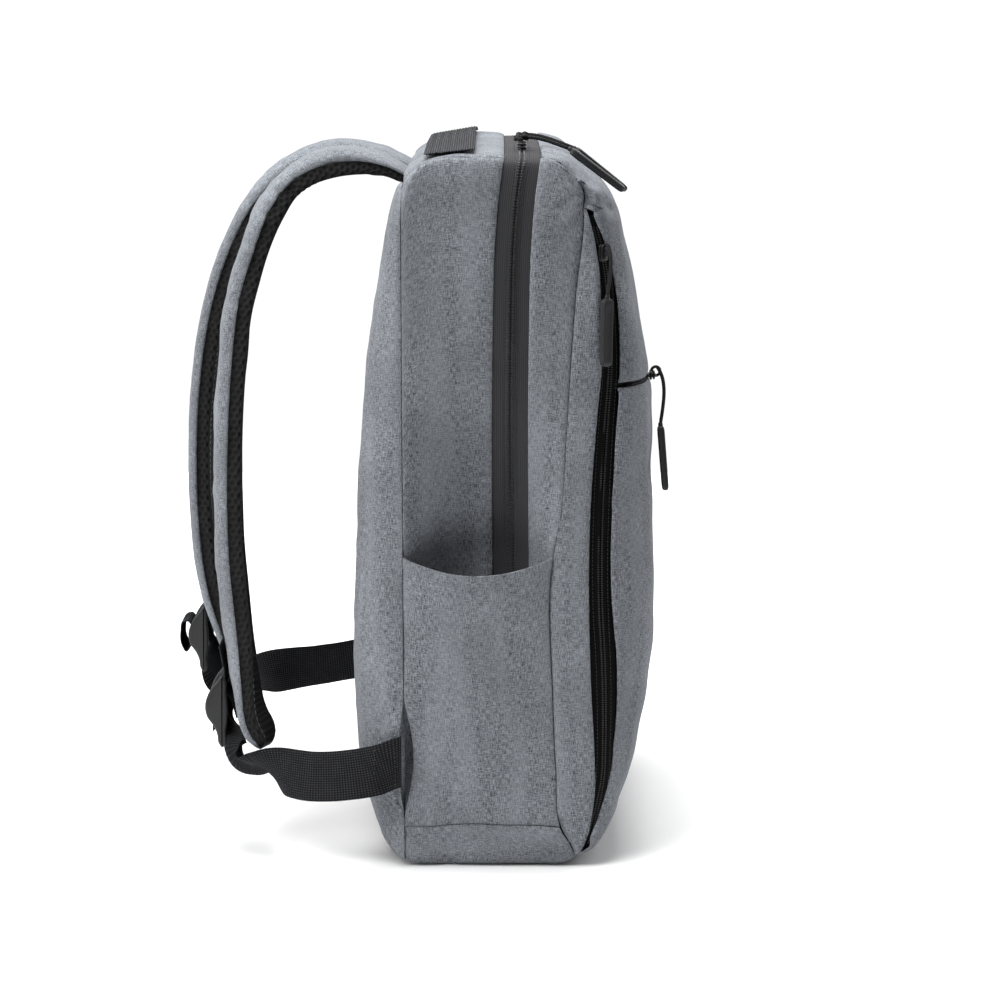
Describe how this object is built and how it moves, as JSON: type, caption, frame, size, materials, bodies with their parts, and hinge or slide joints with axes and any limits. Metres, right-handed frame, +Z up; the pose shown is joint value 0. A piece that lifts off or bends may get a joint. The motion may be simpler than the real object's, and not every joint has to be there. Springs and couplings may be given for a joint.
{
  "type": "laptop backpack",
  "caption": "Slim upright fabric laptop backpack with padded shoulder straps, side pockets, zipped front panel and top grab handle.",
  "frame": {"origin": "middle of the flat base, on the surface the bag stands on", "axes": "+X towards the wearer's right, -Y the front of the bag, +Y towards the wearer's back, +Z up"},
  "size_m": [0.314, 0.3202, 0.4376],
  "materials": {
    "grey_fabric": "heather grey woven polyester, matt",
    "black_mesh": "black air mesh over foam",
    "black_webbing": "ribbed black webbing",
    "black_cord": "black braided cord",
    "zip_tape": "black zip tape with a coil",
    "black_plastic": "moulded black plastic, satin",
    "black_metal": "black painted sliders",
    "pull_rubber": "soft dark rubber"
  },
  "bodies": {
    "root": {"back_panel": "black_mesh", "rear_gusset_left": "grey_fabric", "rear_gusset_right": "grey_fabric", "base_panel": "grey_fabric", "top_panel": "grey_fabric", "side_panel_left": "grey_fabric", "side_panel_right": "grey_fabric", "main_zip": "zip_tape", "front_strip_left": "grey_fabric", "front_strip_right": "grey_fabric", "pocket_zip_left": "zip_tape", "pocket_zip_right": "zip_tape", "front_upper_panel": "grey_fabric", "front_lower_panel": "grey_fabric", "front_zip": "zip_tape", "side_pocket_left": "grey_fabric", "side_pocket_right": "grey_fabric", "shoulder_strap_left": "grey_fabric", "shoulder_strap_right": "grey_fabric", "strap_mesh_left": "black_mesh", "strap_mesh_right": "black_mesh", "buckle_left": "black_plastic", "buckle_right": "black_plastic", "buckle_anchor_left": "black_webbing", "buckle_anchor_right": "black_webbing", "lower_webbing_left": "black_webbing", "lower_webbing_right": "black_webbing", "strap_wing_left": "grey_fabric", "strap_wing_right": "grey_fabric", "top_handle": "black_webbing", "main_pull_a_slider": "black_metal", "main_pull_a_cord": "black_cord", "main_pull_a_tab": "pull_rubber", "main_pull_b_slider": "black_metal", "main_pull_b_cord": "black_cord", "main_pull_b_tab": "pull_rubber", "pocket_pull_left_slider": "black_metal", "pocket_pull_left_cord": "black_cord", "pocket_pull_left_tab": "pull_rubber", "pocket_pull_right_slider": "black_metal", "pocket_pull_right_cord": "black_cord", "pocket_pull_right_tab": "pull_rubber", "front_pull_slider": "black_metal", "front_pull_cord": "black_cord", "front_pull_tab": "pull_rubber"}
  },
  "joints": []
}
